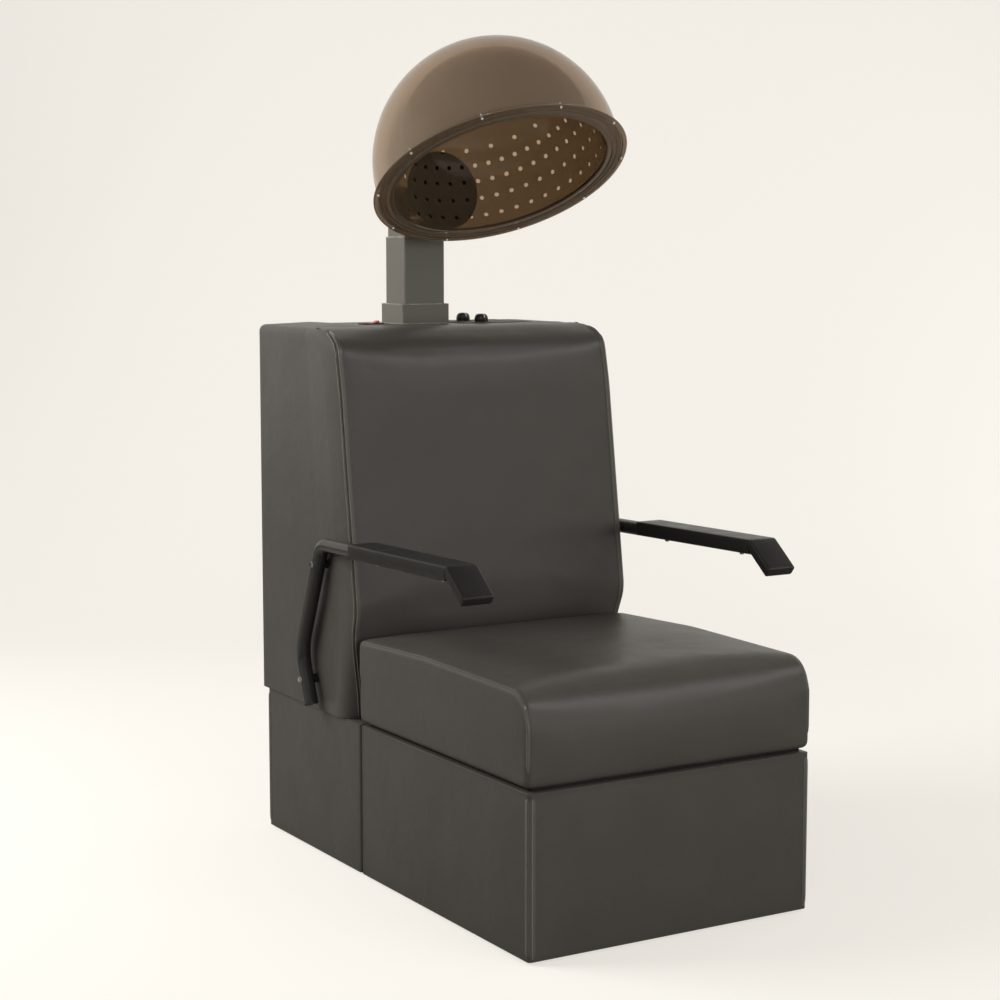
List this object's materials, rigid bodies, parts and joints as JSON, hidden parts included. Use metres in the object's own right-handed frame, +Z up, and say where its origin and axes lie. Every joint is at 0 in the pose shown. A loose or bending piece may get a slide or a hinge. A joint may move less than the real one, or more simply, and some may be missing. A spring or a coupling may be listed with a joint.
{
  "type": "hooded dryer chair",
  "caption": "Upholstered salon chair with a tall padded back box, open-ended armrests and a smoked dome dryer hood on a telescopic mast.",
  "frame": {"origin": "on the floor, at the middle of the chair's width and depth", "axes": "+Z up, the sitter faces -Y, the sitter's left hand is at +X"},
  "size_m": [0.713, 1.056, 1.6118],
  "materials": {
    "plywood": "raw",
    "vinyl": "semi-gloss vinyl",
    "padding": "semi-gloss vinyl over foam",
    "steel_bolt": "zinc plated",
    "chrome_screw": "polished",
    "glide": "moulded",
    "panel_steel": "satin paint",
    "filter_frame": "moulded",
    "black_plastic": "moulded",
    "arm_steel": "powder coat",
    "arm_pad": "self-skinned foam",
    "mast_paint": "satin powder coat",
    "nylon": "natural nylon",
    "sheet_steel": "galvanised",
    "mica": "mica board",
    "fan_plastic": "moulded",
    "switch_body": "moulded",
    "red_rocker": "moulded",
    "smoked_shell": "smoked translucent moulding",
    "smoked_liner": "smoked translucent moulding"
  },
  "bodies": {
    "chair": {"front_carcass": "plywood", "rear_carcass": "plywood", "front_cover": "vinyl", "rear_cover": "vinyl", "frame_bolts": "steel_bolt", "glides": "glide", "seat_board": "plywood", "seat_cushion": "padding", "back_carcass": "plywood", "back_cover": "vinyl", "back_cushion": "padding", "service_panel": "panel_steel", "service_panel_screws": "steel_bolt", "lint_filter": "filter_frame", "power_inlet": "black_plastic", "right_arm_tube": "arm_steel", "right_arm_pad": "arm_pad", "left_arm_tube": "arm_steel", "left_arm_pad": "arm_pad", "arm_tube_plugs": "black_plastic", "arm_spacers": "arm_steel", "arm_bolts": "chrome_screw", "pad_screws": "chrome_screw", "mast_outer_tube": "mast_paint", "mast_collar": "mast_paint", "mast_bushing": "nylon", "mast_stop_ring": "nylon", "duct_adapter": "sheet_steel", "heater_box": "sheet_steel", "heater_element": "mica", "blower_shelf": "plywood", "blower_scroll": "sheet_steel", "outlet_flange": "sheet_steel", "blower_motor": "sheet_steel", "motor_screws": "steel_bolt", "control_plate": "panel_steel", "timer_dial": "black_plastic", "heat_dial": "black_plastic", "timer_body": "switch_body", "heat_switch_body": "switch_body", "rocker_frame": "black_plastic"},
    "mast": {"mast_inner_tube": "mast_paint", "mast_foot_guide": "nylon", "mast_head": "mast_paint", "tilt_pin": "steel_bolt", "tilt_washers": "nylon"},
    "hood": {"hood_shell": "smoked_shell", "hood_rim": "smoked_shell", "hood_liner": "smoked_liner", "hood_rim_screws": "chrome_screw", "hood_neck": "mast_paint", "hood_inlet_plate": "black_plastic", "hood_neck_screws": "steel_bolt"},
    "timer": {"timer_knob": "black_plastic"},
    "heat": {"heat_knob": "black_plastic"},
    "rocker": {"power_rocker": "red_rocker"},
    "fan": {"blower_wheel": "fan_plastic", "motor_shaft": "steel_bolt"}
  },
  "joints": [
    {"name": "hood_lift", "type": "slide", "parent": "chair", "child": "mast", "axis": [0, 0, 1], "range_m": [0, 0.15]},
    {"name": "hood_tilt", "type": "hinge", "parent": "mast", "child": "hood", "pos_m": [0, 0.4105, 1.2953], "axis": [-1, 0, 0], "range_deg": [-29.5, 15]},
    {"name": "timer_turn", "type": "hinge", "parent": "chair", "child": "timer", "pos_m": [0.127, 0.432, 1.06], "axis": [0, 0, -1], "range_deg": [0, 300]},
    {"name": "heat_turn", "type": "hinge", "parent": "chair", "child": "heat", "pos_m": [0.127, 0.356, 1.06], "axis": [0, 0, -1], "range_deg": [0, 270]},
    {"name": "power_rock", "type": "hinge", "parent": "chair", "child": "rocker", "pos_m": [-0.112, 0.393, 1.0495], "axis": [0, 1, 0], "range_deg": [0, 16]},
    {"name": "fan_spin", "type": "hinge", "parent": "chair", "child": "fan", "pos_m": [0, 0.3565, 0.631], "axis": [1, 0, 0], "continuous": true}
  ]
}
